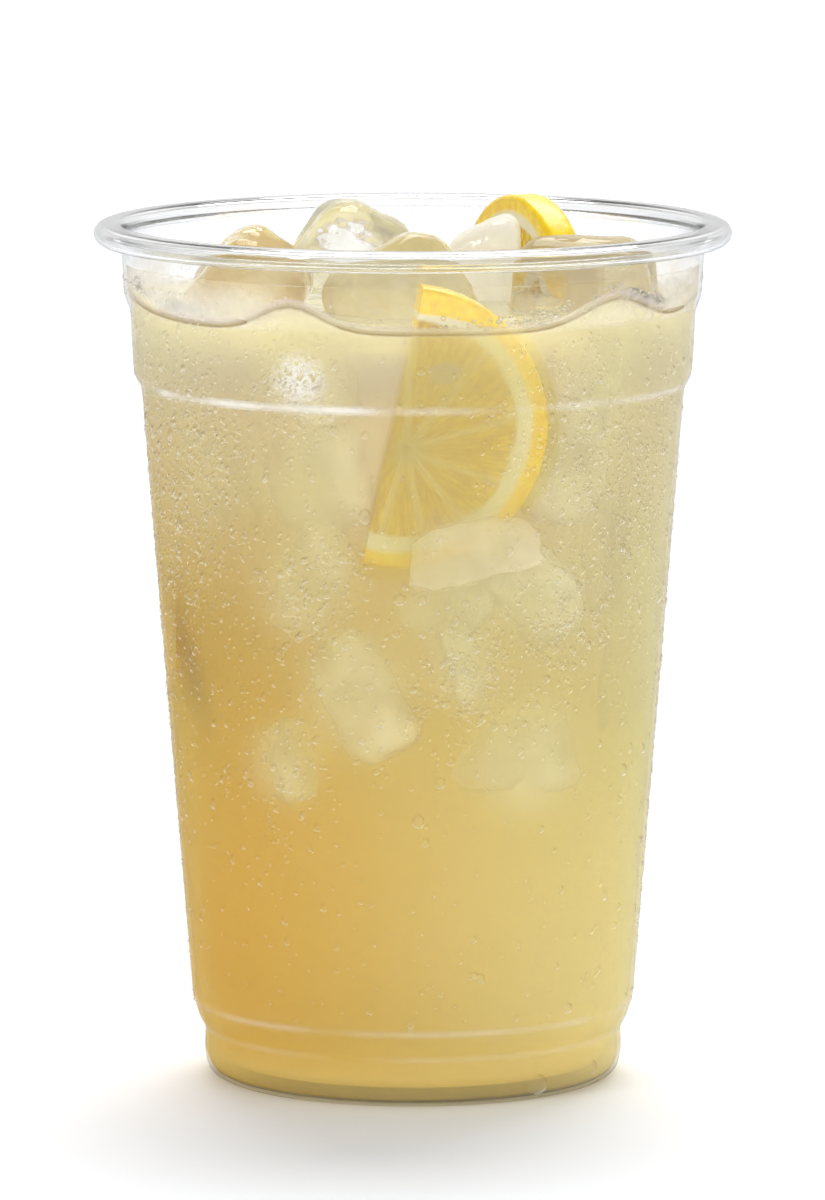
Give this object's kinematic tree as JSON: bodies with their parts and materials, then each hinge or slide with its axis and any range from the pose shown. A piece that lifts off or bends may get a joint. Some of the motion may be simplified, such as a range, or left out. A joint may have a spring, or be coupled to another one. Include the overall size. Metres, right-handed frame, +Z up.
{
  "type": "plastic cup of iced lemonade",
  "caption": "Clear disposable cold-drink cup with a curled rim, full of cloudy lemonade, with ice blocks and lemon slices standing out of the top.",
  "frame": {"origin": "middle of the cup's foot, on the surface it stands on", "axes": "+Z up the cup's axis to the mouth; -Y is the front, where the large lemon slice shows against the wall; +X to the right of someone facing the front"},
  "size_m": [0.098, 0.098, 0.1347],
  "materials": {
    "clear_plastic": "thin clear plastic, glossy",
    "lemonade": "cloudy pale yellow drink, wet",
    "ice": "clear melting ice, wet",
    "lemon": "lemon peel and pulp, wet"
  },
  "bodies": {
    "root": {"cup": "clear_plastic", "lemonade": "lemonade", "ice_left": "ice", "ice_tall": "ice", "ice_front": "ice", "ice_frosted": "ice", "ice_flat": "ice", "lemon_slice_front": "lemon", "lemon_slice_back": "lemon"}
  },
  "joints": []
}
